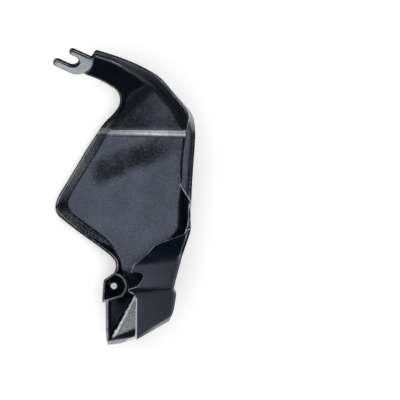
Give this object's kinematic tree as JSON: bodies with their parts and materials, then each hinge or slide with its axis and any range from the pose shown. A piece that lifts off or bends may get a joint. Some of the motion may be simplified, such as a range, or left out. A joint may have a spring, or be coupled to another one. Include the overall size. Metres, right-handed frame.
{
  "type": "motorcycle hand guard",
  "caption": "Moulded plastic hand guard shell with a flared pan, a curved arm ending in a slotted clamp fork, and a bar end box with a screw cup.",
  "frame": {"origin": "centre of the bar end screw hole, on the outer face of the screw cup's floor, level with the pan's outer face", "axes": "+Z along the screw hole, from the outer face towards the rider; +Y along the guard towards the clamp fork; +X across the hand towards the tall outer side wall"},
  "size_m": [0.1414, 0.2966, 0.0526],
  "materials": {
    "black_plastic": "satin moulded, lightly scuffed"
  },
  "bodies": {
    "root": {"hand_guard": "black_plastic"}
  },
  "joints": []
}
